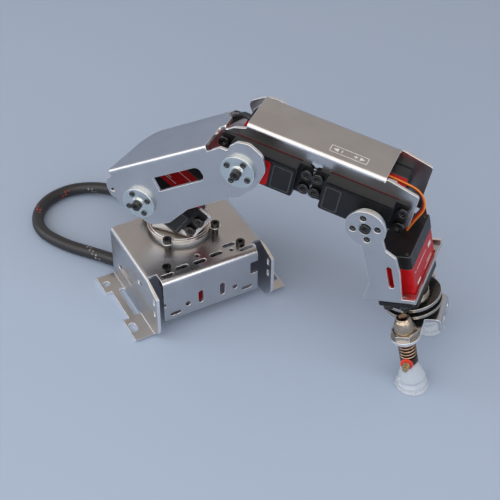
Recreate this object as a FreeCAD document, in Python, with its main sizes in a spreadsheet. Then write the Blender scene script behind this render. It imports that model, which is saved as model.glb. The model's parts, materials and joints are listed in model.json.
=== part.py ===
import FreeCAD, Part
import math
import os

V = FreeCAD.Vector
Placement = FreeCAD.Placement
Rotation = FreeCAD.Rotation

# Desktop robot arm: five standard servos, bent sheet brackets and a two-cup suction tool.
# Millimetres, +Z up; the origin is where the base's turning axis meets the floor, +Y points to the open back.
SIZES = (
    ("gauge", 2.0),
    ("base_width", 79.2),
    ("base_height", 40.0),
    ("base_rear", 18.7),
    ("base_front", 50.1),
    ("foot_reach", 52.0),
    ("foot_hole_x", 48.4),
    ("foot_hole_y", 10.9),
    ("panel_y", 43.2),
    ("panel_width", 64.0),
    ("spacer_length", 10.0),
    ("guide_offset", 16.3),
    ("ring_inner", 14.5),
    ("ring_outer", 18.0),
    ("ring_height", 3.0),
    ("ring_gap", 0.1),
    ("disc_radius", 20.6),
    ("disc_height", 2.1),
    ("servo_length", 40.0),
    ("servo_width", 20.0),
    ("servo_inset", 10.0),
    ("servo_depth", 27.8),
    ("servo_cap", 9.0),
    ("ear_height", 2.5),
    ("ear_reach", 7.25),
    ("ear_pitch", 49.5),
    ("ear_spread", 10.0),
    ("case_top", 9.7),
    ("shaft_radius", 2.95),
    ("shaft_top", 15.2),
    ("horn_radius", 10.0),
    ("horn_pcd", 14.0),
    ("stud_radius", 3.0),
    ("seat_y", 15.2),
    ("yaw", -50.7),
    ("shoulder_x", -9.8),
    ("shoulder_rise", 40.0),
    ("shoulder_servo_pitch", -34.0),
    ("upper_length", 75.1),
    ("upper_pitch", 33.6),
    ("web_lean", -3.9),
    ("link_near", 31.4),
    ("link_far", 18.6),
    ("link_top", 24.3),
    ("fore_length", 76.0),
    ("fore_pitch", -9.9),
    ("cover_half", 15.2),
    ("cover_top", 19.5),
    ("hand_pitch", 13.0),
    ("hand_near", 36.7),
    ("hand_far", 20.4),
    ("hand_web", 51.2),
    ("tool_x", 9.8),
    ("tool_y", -8.6),
    ("tool_turn", 5.0),
    ("flange_radius", 17.0),
    ("spool_length", 8.6),
    ("cup_offset", 25.2),
    ("sleeve_radius", 4.6),
    ("stem_radius", 3.0),
    ("cup_radius", 10.5),
    ("rim_depth", 111.64),
    ("loom_radius", 4.1),
    ("lead_radius", 1.8),
)

doc = FreeCAD.newDocument("robot_arm")
sheet = doc.addObject("Spreadsheet::Sheet", "Sizes")
for row, (alias, value) in enumerate(SIZES, 1):
    sheet.set(f"A{row}", alias)
    sheet.set(f"B{row}", str(value))
    sheet.setAlias(f"B{row}", alias)
doc.recompute()

nodes = {}


def size(alias):
    return float(sheet.get(alias))


def at(x, y, z, axis=V(0, 0, 1), degrees=0.0):
    return Placement(V(x, y, z), Rotation(axis, degrees))


def circle(x, y, radius):
    return [Part.Circle(V(x, y, 0), V(0, 0, 1), radius)]


def arc(centre, start, stop):
    """Shorter arc about the centre from start to stop."""
    a, b = start - centre, stop - centre
    ends = [math.atan2(a.y, a.x), math.atan2(b.y, b.x)]
    if a.cross(b).z < 0:
        ends.reverse()
    return Part.ArcOfCircle(Part.Circle(centre, V(0, 0, 1), a.Length), *ends)


def outline(corners):
    """Closed loop through (x, y) or (x, y, radius) corners; a corner with a radius becomes a tangent arc."""
    points = [V(c[0], c[1], 0) for c in corners]
    radii = [c[2] if len(c) > 2 else 0 for c in corners]
    ends = []
    for i, (p, r) in enumerate(zip(points, radii)):
        back = (points[i - 1] - p).normalize()
        on = (points[(i + 1) % len(points)] - p).normalize()
        if not r:
            ends.append((p, p, None))
            continue
        half = back.getAngle(on) / 2
        reach = r / math.tan(half)
        centre = p + (back + on).normalize() * (r / math.sin(half))
        ends.append((p + back * reach, p + on * reach, centre))
    loop = []
    for i, (start, stop, centre) in enumerate(ends):
        if centre is not None:
            loop.append(arc(centre, start, stop))
        follow = ends[(i + 1) % len(ends)][0]
        if (follow - stop).Length > 1e-6:
            loop.append(Part.LineSegment(stop, follow))
    return loop


def box(x0, x1, y0, y1, radius=0):
    return outline([(x0, y0, radius), (x1, y0, radius), (x1, y1, radius), (x0, y1, radius)])


def slot(x, y, length, width, degrees=0.0):
    """Round-ended slot centred on x, y with its length along the given direction."""
    turn = math.radians(degrees)
    along = V(math.cos(turn), math.sin(turn), 0) * ((length - width) / 2)
    side = V(-math.sin(turn), math.cos(turn), 0) * (width / 2)
    c = V(x, y, 0)
    quarter = math.pi / 2
    rounds = [Part.ArcOfCircle(Part.Circle(c + s * along, V(0, 0, 1), width / 2), turn + q - quarter, turn + q + quarter)
              for s, q in ((1, 0), (-1, math.pi))]
    return rounds + [Part.LineSegment(c + along + side, c - along + side),
                     Part.LineSegment(c - along - side, c + along - side)]


def strip(path, thickness, bends):
    """Section of bent sheet: one skin follows the path, the metal lies on the path's right-hand side."""
    points = [V(x, y, 0) for x, y in path]
    runs = [(b - a).normalize() for a, b in zip(points, points[1:])]
    rights = [V(d.y, -d.x, 0) for d in runs]
    skin = [(points[0].x, points[0].y)]
    first = points[0] + rights[0] * thickness
    inner = [(first.x, first.y)]
    for i, bend in enumerate(bends, 1):
        p = points[i]
        q = p + (rights[i - 1] + rights[i]) * (thickness / (1 + rights[i - 1].dot(rights[i])))
        radii = [bend, max(bend - thickness, 0)]
        if runs[i - 1].cross(runs[i]).z > 0:
            radii.reverse()
        skin.append((p.x, p.y, radii[0]))
        inner.append((q.x, q.y, radii[1]))
    last = points[-1] + rights[-1] * thickness
    skin.append((points[-1].x, points[-1].y))
    inner.append((last.x, last.y))
    return outline(skin + inner[::-1])


def new_body(label, placement):
    body = doc.addObject("PartDesign::Body", label)
    body.Label = label
    body.Placement = placement
    nodes[label] = body
    return body


def origin_item(body, role):
    return next(item for item in body.Origin.OriginFeatures if item.Role == role)


def sketch(body, role, level, loops):
    """Sketch on one of the body's origin planes, moved to the given level along X, Y or Z."""
    drawn = body.newObject("Sketcher::SketchObject", body.Label + "_sketch")
    drawn.AttachmentSupport = (origin_item(body, role), [""])
    drawn.MapMode = "FlatFace"
    drawn.AttachmentOffset = at(0, 0, -level if role == "XZ_Plane" else level)
    for loop in loops:
        drawn.addGeometry(loop, False)
    return drawn


def feature(body, kind, role, level, loops, length):
    made = body.newObject("PartDesign::" + kind, body.Label + "_" + kind.lower())
    made.Profile = sketch(body, role, level, loops)
    made.SideType = "Symmetric"
    if length is None:
        made.Type = "ThroughAll"
    else:
        made.setExpression("Length", str(length))
    body.Tip = made
    return made


def add(body, role, level, loops, length):
    """Solid from the loops, half the length to each side of the level."""
    return feature(body, "Pad", role, level, loops, length)


def cut(body, role, level, loops, length=None):
    """Opening from the loops, half the length to each side of the level, or right through."""
    return feature(body, "Pocket", role, level, loops, length)


def stack(body, role, layers):
    """Round layers (radius, from, to) one on another along the plane's normal axis."""
    for radius, low, high in layers:
        add(body, role, (low + high) / 2, [circle(0, 0, radius)], high - low)


def turned(body, profile):
    """Solid of revolution about the body's Z axis from (radius, z) corners."""
    made = body.newObject("PartDesign::Revolution", body.Label + "_turn")
    made.Profile = sketch(body, "XZ_Plane", 0, [outline(profile)])
    made.ReferenceAxis = (origin_item(body, "Z_Axis"), [""])
    made.Angle = 360
    body.Tip = made
    return made


def cylinder(label, placement, radius, height):
    made = doc.addObject("Part::Cylinder", label)
    made.Label = label
    made.setExpression("Radius", str(radius))
    made.setExpression("Height", str(height))
    made.Placement = placement
    return made


def screw(name, shank, length, head, height):
    """Socket-head screw, seated on z = 0 with its head above."""
    bolt = doc.addObject("Part::Fuse", name + "_bolt")
    bolt.Base = cylinder(name + "_shank", at(0, 0, -length), shank, length + height * 0.3)
    bolt.Tool = cylinder(name + "_head", at(0, 0, 0), head, height)
    key = doc.addObject("Part::Prism", name + "_key")
    key.Polygon = 6
    key.Circumradius = head * 0.55
    key.Height = height
    key.Placement = at(0, 0, height * 0.45)
    made = doc.addObject("Part::Cut", name)
    made.Base = bolt
    made.Tool = key
    doc.recompute()
    return made.Shape


def group(label, members):
    """Several placed copies of finished shapes under one name."""
    made = doc.addObject("Part::Feature", label)
    made.Label = label
    made.Shape = Part.makeCompound([place_shape(shape, placement) for shape, placement in members])
    nodes[label] = made
    return made


def place_shape(shape, placement):
    copy = shape.copy()
    copy.Placement = placement.multiply(copy.Placement)
    return copy


def ring_points(count, radius, degrees=0.0):
    turns = [math.radians(degrees + 360 * i / count) for i in range(count)]
    return [(radius * math.cos(t), radius * math.sin(t)) for t in turns]


def cord(label, placement, points, radius):
    """Round cord along straight runs joined by tangent arcs."""
    path = [V(*p) for p in points]
    edges = []
    bends = []
    last = path[0]
    for before, here, after in zip(path, path[1:], path[2:]):
        back, on = before - here, after - here
        reach = 0.45 * min(back.Length, on.Length)
        back.normalize()
        on.normalize()
        start, stop = here + back * reach, here + on * reach
        bisector = (back + on).normalize()
        half = back.getAngle(on) / 2
        bend = reach * math.tan(half)
        bends.append(round(bend, 1))
        middle = here + bisector * (bend / math.sin(half) - bend)
        edges += [Part.makeLine(last, start), Part.Arc(start, middle, stop).toShape()]
        last = stop
    edges.append(Part.makeLine(last, path[-1]))
    route = Part.Wire(edges)
    section = Part.Wire(Part.makeCircle(radius, path[0], path[1] - path[0]))
    made = doc.addObject("Part::Feature", label)
    made.Label = label
    made.Shape = route.makePipeShell([section], True, True)
    made.Placement = placement
    nodes[label] = made
    print(label, round(route.Length, 1), "mm long, bend radii", bends)
    return made


# Frames of the pieces that turn: each stands on its own axis in the pose of the photograph.
ARM = at(0, 0, 0, V(0, 0, 1), size("yaw"))


def pitched(x, z, pitch):
    return ARM.multiply(at(x, 0, z, V(0, -1, 0), pitch))


cradle_top = size("base_height") - size("gauge") - size("spacer_length")
shoulder_z = size("base_height") + size("shoulder_rise")
upper_turn = math.radians(size("upper_pitch"))
fore_turn = math.radians(size("fore_pitch"))
elbow_x = size("shoulder_x") + size("upper_length") * math.cos(upper_turn)
elbow_z = shoulder_z + size("upper_length") * math.sin(upper_turn)
wrist_x = elbow_x + size("fore_length") * math.cos(fore_turn)
wrist_z = elbow_z + size("fore_length") * math.sin(fore_turn)
LINK = pitched(size("shoulder_x"), shoulder_z, size("upper_pitch") + size("web_lean"))
FORE = pitched(elbow_x, elbow_z, size("fore_pitch"))
HAND = pitched(wrist_x, wrist_z, size("hand_pitch"))
TOOL = HAND.multiply(at(size("tool_x"), size("tool_y"), 0))
GRIP = TOOL.multiply(at(0, 0, 0, V(0, 0, 1), size("tool_turn")))
lean = math.radians(-size("web_lean"))
elbow_u = size("upper_length") * math.cos(lean)
elbow_h = size("upper_length") * math.sin(lean)

# A servo stands on its ears' underside with the shaft along its own +Z and its body reaching along +X.
SEATED = at(0, -size("seat_y"), 0, V(1, 0, 0), 90)
BASE_SERVO = at(0, 0, cradle_top, V(0, 0, 1), -90)
SHOULDER_SERVO = pitched(size("shoulder_x"), shoulder_z, size("shoulder_servo_pitch")).multiply(SEATED)
ELBOW_SERVO = FORE.multiply(SEATED)
WRIST_SERVO = FORE.multiply(at(size("fore_length"), 0, 0)).multiply(SEATED).multiply(at(0, 0, 0, V(0, 0, 1), 180))
TOOL_SERVO = TOOL.multiply(at(0, 0, -size("hand_web"), V(0, 0, 1), -90)).multiply(at(0, 0, 0, V(1, 0, 0), 180))



def ear_holes(inset):
    middle = size("servo_length") / 2 - inset
    return [(middle + sx * size("ear_pitch") / 2, sy * size("ear_spread") / 2) for sx in (-1, 1) for sy in (-1, 1)]


MID_INSET = size("servo_length") / 2
EAR_HOLES = ear_holes(size("servo_inset"))
TOOL_EARS = ear_holes(MID_INSET)
HORN_HOLES = ring_points(4, size("horn_pcd") / 2)


def servo(name, placement, inset=size("servo_inset")):
    """Black bottom cap, red middle and black top with ears, gear case and shaft boss; the shaft is inset from one end."""
    x0 = -inset
    x1 = x0 + size("servo_length")
    half = size("servo_width") / 2
    cap = size("servo_cap") - size("servo_depth")
    low = new_body(name + "_bottom", placement)
    add(low, "XY_Plane", cap - size("servo_cap") / 2, [box(x0, x1, -half, half, 1.5)], "Sizes.servo_cap")
    middle = new_body(name + "_middle", placement)
    add(middle, "XY_Plane", cap / 2, [box(x0 + 0.2, x1 - 0.2, 0.2 - half, half - 0.2, 1.3)],
        "Sizes.servo_depth - Sizes.servo_cap")
    top = new_body(name + "_top", placement)
    reach, rise = size("ear_reach"), size("ear_height")
    ears = [box(x0 - reach, x1 + reach, -half, half, 1.5)] + [circle(x, y, 2.2) for x, y in ear_holes(inset)]
    add(top, "XY_Plane", rise / 2, ears, "Sizes.ear_height")
    add(top, "XY_Plane", (rise + 8.6) / 2, [box(x0, x1, -half, half, 1.5)], 8.6 - rise)
    add(top, "XY_Plane", (8.6 + size("case_top")) / 2, [box(x0 + 1, x1 - 1, 1 - half, half - 1, 1.5)], "Sizes.case_top - 8.6")
    add(top, "XY_Plane", size("case_top") + 0.25, [circle(0, 0, 6.5)], 0.5)
    cut(top, "XY_Plane", 7.0, [circle(0, 0, size("shaft_radius") + 0.05)], 8)


def shaft(name, placement):
    made = cylinder(name, placement.multiply(at(0, 0, 4)), "Sizes.shaft_radius", "Sizes.shaft_top - 4")
    nodes[name] = made


def horn(name, placement, hub, disc, collar, degrees):
    """Round metal horn: hub on the shaft, disc with four holes, short collar; each given as (from, to)."""
    made = new_body(name, placement)
    add(made, "XY_Plane", sum(disc) / 2, [circle(0, 0, size("horn_radius"))], disc[1] - disc[0])
    if hub:
        add(made, "XY_Plane", sum(hub) / 2, [circle(0, 0, 4.6)], hub[1] - hub[0])
    if collar:
        add(made, "XY_Plane", sum(collar) / 2, [circle(0, 0, 4.0)], collar[1] - collar[0])
    foot = hub[0] if hub else disc[0]
    cut(made, "XY_Plane", foot, [circle(0, 0, size("shaft_radius") + 0.05)], 2 * (size("shaft_top") + 0.1 - foot))
    cut(made, "XY_Plane", 0, [circle(0, 0, 1.55)] + [circle(x, y, 1.5) for x, y in ring_points(4, size("horn_pcd") / 2, degrees)])


# Screws used over the arm.
ear_screw = screw("ear_screw", 1.95, 5.2, 3.3, 2.5)
horn_screw = screw("horn_screw", 1.45, 4.2, 1.75, 0.6)
centre_bolt = screw("centre_bolt", 1.5, 4.2, 2.9, 2.4)
guide_screw = screw("guide_screw", 1.5, 20.1, 2.75, 2.2)
cradle_screw = screw("cradle_screw", 1.5, 14.0, 2.75, 3.0)
web_screw = screw("web_screw", 1.45, 6.8, 2.6, 2.0)
tool_ear_screw = screw("tool_ear_screw", 1.45, 4.4, 3.0, 2.5)
bar_screw = screw("bar_screw", 1.45, 13.6, 2.6, 2.2)

# Base housing: hat section with feet, trimmed at the front, with a tongue bent down as the front panel.
gauge = size("gauge")
half_base = size("base_width") / 2
height = size("base_height")
rear, front = size("base_rear"), size("base_front")
base = new_body("base_housing", at(0, 0, 0))
foot = size("foot_reach")
hat = [(-foot, gauge), (-half_base, gauge), (-half_base, height), (half_base, height), (half_base, gauge), (foot, gauge)]
add(base, "XZ_Plane", (rear - front) / 2, [strip(hat, gauge, (2.5, 3, 3, 2.5))], "Sizes.base_rear + Sizes.base_front")
cut(base, "YZ_Plane", 0, [outline([(-34, height + 1), (-34, height), (-front, height - 4.7), (-front - 3, height - 4.7),
                                   (-front - 3, height + 1)]),
                          outline([(-front - 3, -1), (-front - 3, 18.2), (-front, 18.2), (-front, 7, 9), (-40, -1)])])
inside = half_base - gauge
cut(base, "XY_Plane", height - 4, [box(-inside, inside, -front - 3, -34)], 12)
add(base, "YZ_Plane", 0, [strip([(-33, height), (-size("panel_y"), height), (-size("panel_y"), 8.5)][::-1], gauge, (3.5,))],
    "Sizes.panel_width")
guides = [(sx * size("guide_offset"), sy * size("guide_offset")) for sx in (-1, 1) for sy in (-1, 1)]
hangers = guides + [(-24.9, -33.4), (24.9, -33.4)]
top_cuts = [circle(0, 0, 12)] + [circle(x, y, 1.55) for x, y in hangers]
top_cuts += [slot(x, y, 8.5, 3) for x, y in ((-15.7, -35), (-3.9, -35.5), (7.8, -34), (18.3, -30.2))]
top_cuts += [circle(-3.1, -30, 1.5), circle(17.8, -35, 1.5), slot(-26.5, -37.6, 9, 2.6), slot(26.5, -37.6, 9, 2.6)]
cut(base, "XY_Plane", height - 1, top_cuts, 4)
panel_cuts = []
for s in (-1, 1):
    panel_cuts += [slot(s * 7.3, 18.8, 9.6, 3.4, 90), circle(s * 16, 16.7, 1.7), slot(s * 24.5, 12.7, 7.3, 2.5)]
panel_cuts += [box(26.8, 34, 22.7, 31.8, 0.8), box(-34, -30.6, 20.2, 22.8, 0.6)]
cut(base, "XZ_Plane", 1 - size("panel_y"), panel_cuts, 5)
side_cuts = [slot(-1.5, 17, 21, 4.5), slot(-26.4, height - 10.5, 8, 2.6, -17)]
side_cuts += [slot(-46, height - drop, 5, 2.4, 90) for drop in (9.5, 18.5)]
cut(base, "YZ_Plane", 0, side_cuts)
for s in (-1, 1):
    neck = box(min(s * 48, s * 55), max(s * 48, s * 55), -24, 3)
    cut(base, "XY_Plane", 1, [neck, slot(s * 41.6, -10.2, 26, 3.6, 90), slot(s * 48.9, -32.5, 8, 4.5, 90),
                              circle(s * size("foot_hole_x"), size("foot_hole_y"), 2.25)], 4)

cradle = new_body("servo_cradle", at(0, 0, 0))
plate = outline([(-20.5, 18.7, 3), (20.5, 18.7, 3), (20.5, -25, 3), (29.5, -28, 3), (29.5, -39.8, 3), (-29.5, -39.8, 3),
                 (-29.5, -28, 3), (-20.5, -25, 3)])
window = box(-10.3, 10.3, -30.3, 10.3)
seats = [circle(y, -x, 2.0) for x, y in EAR_HOLES] + [circle(x, y, 1.55) for x, y in hangers]
add(cradle, "XY_Plane", cradle_top - gauge / 2, [plate, window] + seats, "Sizes.gauge")

spacer = new_body("cradle_spacer", at(0, 0, 0))
nodes.pop("cradle_spacer")
add(spacer, "XY_Plane", size("spacer_length") / 2, [circle(0, 0, 2.3), circle(0, 0, 1.55)], "Sizes.spacer_length")
guide = new_body("turntable_guide", at(0, 0, 0))
nodes.pop("turntable_guide")
disc_level = height + size("ring_height") + size("ring_gap")
collar_rise = disc_level + size("disc_height") + 0.3 - height
add(guide, "XY_Plane", collar_rise / 2, [circle(0, 0, 2.0), circle(0, 0, 1.55)], collar_rise)
add(guide, "XY_Plane", collar_rise + 0.3, [circle(0, 0, 3.5), circle(0, 0, 1.55)], 0.6)
doc.recompute()
group("cradle_spacers", [(spacer.Shape, at(x, y, cradle_top)) for x, y in hangers])
group("turntable_guides", [(guide.Shape, at(x, y, height)) for x, y in guides])
group("base_screws", [(guide_screw, at(x, y, height + collar_rise + 0.6)) for x, y in guides]
      + [(cradle_screw, at(x, y, height)) for x, y in hangers[4:]]
      + [(ear_screw, BASE_SERVO.multiply(at(x, y, size("ear_height")))) for x, y in EAR_HOLES])
thrust = new_body("thrust_ring", at(0, 0, height))
add(thrust, "XY_Plane", size("ring_height") / 2, [circle(0, 0, size("ring_outer")), circle(0, 0, size("ring_inner"))],
    "Sizes.ring_height")
servo("base_servo", BASE_SERVO)

# Turntable: horn and disc on the base servo's shaft, shoulder bracket bolted on top.
shaft("base_servo_shaft", BASE_SERVO)
horn_top = disc_level - cradle_top
horn("base_horn", ARM.multiply(at(0, 0, cradle_top, V(0, 0, 1), 45)), (10.5, horn_top - 3), (horn_top - 3, horn_top), None, 0)
disc = new_body("turntable_disc", ARM.multiply(at(0, 0, disc_level, V(0, 0, 1), 45)))
add(disc, "XY_Plane", size("disc_height") / 2, [circle(0, 0, size("disc_radius")), circle(0, 0, size("shaft_radius") + 0.05)]
    + [circle(x, y, 1.5) for x, y in HORN_HOLES], "Sizes.disc_height")
cut(disc, "XY_Plane", size("disc_height"), [circle(0, 0, 19.6), circle(0, 0, 18.9)], 0.8)
web_z = disc_level + size("disc_height")
bracket = new_body("shoulder_bracket", ARM)
wall = size("cover_half")
add(bracket, "YZ_Plane", 0, [strip([(wall, web_z + 7), (wall, web_z), (-wall, web_z), (-wall, web_z + 7)], gauge, (3, 3))], 23)
servo_turn = math.radians(size("shoulder_servo_pitch"))


def beside_servo(along, across):
    """Arm-plane point given along and across the shoulder servo's body, measured from its shaft."""
    c, s = math.cos(servo_turn), math.sin(servo_turn)
    return (size("shoulder_x") + along * c - across * s, shoulder_z + along * s + across * c)


near = [(-11.5, web_z + 3), (11.5, web_z + 3), (11.5, web_z + 4, 0.8)]
near += [(*beside_servo(39.7, -11.0), 2), (*beside_servo(39.7, 10), 3), beside_servo(30.3, 10), beside_servo(30.3, -10.3)]
near += [beside_servo(-10.3, -10.3), beside_servo(-10.3, 10), (*beside_servo(-17.6, 10), 5)]
near += [(*beside_servo(-17.6, -12.5), 6), (-11.5, web_z + 4, 3)]
add(bracket, "XZ_Plane", gauge / 2 - wall, [outline(near)], "Sizes.gauge")
hub_x, hub_z = size("shoulder_x"), shoulder_z
add(bracket, "XZ_Plane", wall - gauge / 2, [outline([(-11.5, web_z + 3), (11.5, web_z + 3), (hub_x + 13.8, hub_z), (hub_x - 13.8, hub_z)])],
    "Sizes.gauge")
add(bracket, "XZ_Plane", wall - gauge / 2, [circle(hub_x, hub_z, 14)], "Sizes.gauge")
cut(bracket, "XZ_Plane", gauge / 2 - wall, [circle(*beside_servo(x, y), 2.0) for x, y in EAR_HOLES], 4)
cut(bracket, "XZ_Plane", wall - gauge / 2, [circle(hub_x, hub_z, size("stud_radius") + 0.02)], 4)
cut(bracket, "XY_Plane", web_z + 1, [circle(x, y, 1.5) for x, y in ring_points(4, size("horn_pcd") / 2, 45)], 4)
servo("shoulder_servo", SHOULDER_SERVO)
web_screws = [(web_screw, ARM.multiply(at(x, y, web_z + gauge))) for x, y in ring_points(4, size("horn_pcd") / 2, 45)]
group("turntable_screws", web_screws + [(ear_screw, SHOULDER_SERVO.multiply(at(x, y, size("ear_height")))) for x, y in EAR_HOLES])


def stud(name, placement, plate_out):
    """Idler stud: pressed in the inner plate, shouldered, with a cap beyond the plate that turns on it."""
    made = new_body(name, placement)
    inner, outer = wall - gauge, wall
    stack(made, "XZ_Plane", [(size("stud_radius"), inner, plate_out + 1.3), (4.6, outer, plate_out - gauge - 0.1),
                             (4.4, plate_out + 0.1, plate_out + 1.3)])
    return made


stud("shoulder_stud", pitched(hub_x, hub_z, 0), size("link_far"))

# Upper link: near plate, far plate and web; the web turns into the far plate over a wide bend.
link = new_body("upper_link", LINK)
near_y, far_y, top = size("link_near"), size("link_far"), size("link_top")
near_plate = [(62.4, 20.5), (-9, 20.5), (-13.5, 19.3, 2.5), (-16.2, 14.8, 3), (-17.2, 8.6, 2), (-14.9, 5.7, 1.5),
              (-13.3, 0.5, 4), (-2.8, -17.1, 8), (11.0, -18.2, 8), (28.6, -12.0, 6), (59.4, -10.4, 6), (65.9, -11.4, 5),
              (79.2, -7.9, 8), (90.7, 0.8, 8), (93.4, 10.0, 7), (89.5, 18.6, 5), (83.4, 21.7, 3), (77.6, 20.6, 1),
              (74.6, 18.2, 1.5), (71.2, 21.2, 1), (65.5, 20.9, 1)]
add(link, "XZ_Plane", gauge / 2 - near_y, [outline(near_plate)], "Sizes.gauge")
web = [(-near_y, 14), (-near_y, top), (far_y, top), (far_y, 4)]
add(link, "YZ_Plane", 26.7, [strip(web, gauge, (2.5, 18))], 71.4)
tongue = [(62, -28.5), (62.4, -28.5), (63.6, -12.8), (67.6, -12.2, 1.5), (67.6, -3, 4), (62.4, 1), (62, 1)]
add(link, "XY_Plane", top - gauge / 2, [outline(tongue)], "Sizes.gauge")
corner = [(-12, -28.5), (-8.2, -28.5), (0.5, -3, 20), (24, 19), (24, 21), (-12, 21)]
cut(link, "XY_Plane", 20, [outline(corner)], 20)
far_plate = [(62.4, 6), (24, 6), (14, 13, 6), (-14, 14, 13), (-14, -14, 13), (10, -14, 8), (60, -11, 6), (70, -13, 8), (92, -12, 16),
             (92, 22, 16), (68, 22, 4), (66, 6, 2)]
add(link, "XZ_Plane", far_y - gauge / 2, [outline(far_plate)], "Sizes.gauge")
near_cuts = [outline([(17.7, 12.8, 1), (51.3, 12.9, 3.5), (51.3, 4.2, 3.5), (17.2, 3.3, 1)]), circle(-13.4, 11.6, 1.3)]
near_cuts += [circle(0, 0, 4.7), circle(elbow_u, elbow_h, 4.7)] + [circle(x, y, 1.5) for x, y in HORN_HOLES]
elbow_holes = [(elbow_u + x, elbow_h + y) for x, y in ring_points(4, size("horn_pcd") / 2, 30)]
cut(link, "XZ_Plane", gauge / 2 - near_y, near_cuts + [circle(x, y, 1.5) for x, y in elbow_holes], 4)
cut(link, "XZ_Plane", far_y - gauge / 2, [circle(0, 0, 4.55), circle(elbow_u, elbow_h, 4.55)], 4)
link_seat = LINK.multiply(SEATED)
elbow_seat = LINK.multiply(at(elbow_u, 0, elbow_h)).multiply(SEATED)
shaft("shoulder_servo_shaft", link_seat)
shaft("elbow_servo_shaft", elbow_seat)
out = near_y - size("seat_y")
for name, place, turn in (("shoulder_horn", link_seat, 0), ("elbow_horn", elbow_seat, 30)):
    horn(name, place, (12.0, out), (out, out + 2.2), (out + 2.2, out + 3.4), turn)
horn_set = []
for place, turn in ((link_seat, 0), (elbow_seat, 30)):
    horn_set += [(horn_screw, place.multiply(at(x, y, out + 2.2))) for x, y in ring_points(4, size("horn_pcd") / 2, turn)]
    horn_set.append((centre_bolt, place.multiply(at(0, 0, out + 3.4))))
group("upper_arm_screws", horn_set)
bush = new_body("link_bushing", at(0, 0, 0))
nodes.pop("link_bushing")
add(bush, "XZ_Plane", far_y - gauge / 2, [circle(0, 0, 4.5), circle(0, 0, size("stud_radius") + 0.05)], "Sizes.gauge")
doc.recompute()
group("link_bushings", [(bush.Shape, LINK), (bush.Shape, LINK.multiply(at(elbow_u, 0, elbow_h)))])

# Forearm cover: open-bottomed U with two servo windows in its near plate.
cover = new_body("forearm_cover", FORE)
roof = size("cover_top")
reach = size("fore_length")
shell = strip([(-wall, -10), (-wall, roof), (wall, roof), (wall, -10)], gauge, (3, 3))
add(cover, "YZ_Plane", (reach - 5.1) / 2, [shell], "Sizes.fore_length + 5.3")
side_front = [(-8, -12.5, 3), (reach + 12, -12.5, 4), (reach + 20, -6, 3), (reach + 20, 15.8, 2), (reach + 0.8, roof, 1),
              (reach - 0.5, 16)]
near_side = side_front + [(-5.2, 16), (-12.4, 13.2, 3), (-17.6, 8.5, 4), (-17.6, -8.5, 4)]
far_side = side_front + [(-5.2, 16), (-11.5, 6.4, 4)]
for rim, y in ((near_side, gauge / 2 - wall), (far_side, wall - gauge / 2)):
    add(cover, "XZ_Plane", y, [outline(rim)], "Sizes.gauge")
ear_seats = [(x, y) for x, y in EAR_HOLES] + [(reach - x, y) for x, y in EAR_HOLES]
windows = [box(-10.3, 30.3, -10.3, 10.3), box(reach - 30.3, reach + 10.3, -10.3, 10.3)]
cut(cover, "XZ_Plane", gauge / 2 - wall, windows + [circle(x, y, 2.0) for x, y in ear_seats] + [circle(reach / 2, 10.6, 3.4)], 4)
cut(cover, "XZ_Plane", wall - gauge / 2, [circle(u, 0, size("stud_radius") + 0.02) for u in (0, reach)], 4)
servo("elbow_servo", ELBOW_SERVO)
servo("wrist_servo", WRIST_SERVO)
group("forearm_screws", [(ear_screw, s.multiply(at(x, y, size("ear_height")))) for s in (ELBOW_SERVO, WRIST_SERVO) for x, y in EAR_HOLES])
elbow_stud = stud("elbow_stud", at(0, 0, 0), size("link_far"))
wrist_stud = stud("wrist_stud", at(0, 0, 0), size("hand_far"))
nodes.pop("elbow_stud")
nodes.pop("wrist_stud")
doc.recompute()
group("forearm_studs", [(elbow_stud.Shape, FORE), (wrist_stud.Shape, FORE.multiply(at(reach, 0, 0)))])

# Hand bracket: deep U round the forearm's front end, the tool servo hung through its web.
hand = new_body("hand_bracket", HAND)
h_near, h_far, h_web = size("hand_near"), size("hand_far"), size("hand_web")
floor = [(h_far, 4 - h_web), (h_far, -h_web), (-h_near, -h_web), (-h_near, 4 - h_web)]
add(hand, "YZ_Plane", 7.0, [strip(floor, gauge, (2.5, 2.5))], 29.4)
neck = [(8, 0), (9.6, -14, 2), (14.8, -18.8, 3), (15.6, -30, 6), (14.4, 3 - h_web), (-7.7, 3 - h_web), (-7.7, 4.2 - h_web, 2),
        (-3, -37.5, 6), (-3.5, -12), (-4.5, 0)]
for y in (gauge / 2 - h_near, h_far - gauge / 2):
    add(hand, "XZ_Plane", y, [circle(0, 0, 11.5)], "Sizes.gauge")
    add(hand, "XZ_Plane", y, [outline(neck)], "Sizes.gauge")
cut(hand, "XZ_Plane", 0, [slot(9.8, -32.2, 15, 3.2, 90)])
cut(hand, "XZ_Plane", gauge / 2 - h_near, [circle(0, 0, 3.6)] + [circle(x, y, 1.5) for x, y in HORN_HOLES], 4)
cut(hand, "XZ_Plane", -h_near, [circle(x, y, 2.0) for x, y in HORN_HOLES], 2.4)
cut(hand, "XZ_Plane", h_far - gauge / 2, [circle(0, 0, size("stud_radius") + 0.05)], 4)
tx, ty = size("tool_x"), size("tool_y")
well = box(tx - 10.3, tx + 10.3, ty - 20.3, ty + 20.3)
cut(hand, "XY_Plane", 1 - h_web, [well] + [circle(tx - y, ty - x, 1.5) for x, y in TOOL_EARS], 4)
hand_seat = HAND.multiply(SEATED)
shaft("wrist_servo_shaft", hand_seat)
plate_in = h_near - gauge - size("seat_y")
horn("wrist_horn", hand_seat, (12.0, plate_in - 3.5), (plate_in - 3.5, plate_in), None, 0)
hand_set = [(horn_screw, hand_seat.multiply(at(x, y, plate_in + 0.8))) for x, y in HORN_HOLES]
hand_set += [(centre_bolt, hand_seat.multiply(at(0, 0, plate_in)))]
hand_set += [(tool_ear_screw, TOOL_SERVO.multiply(at(x, y, size("ear_height")))) for x, y in TOOL_EARS]
group("hand_screws", hand_set)
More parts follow.
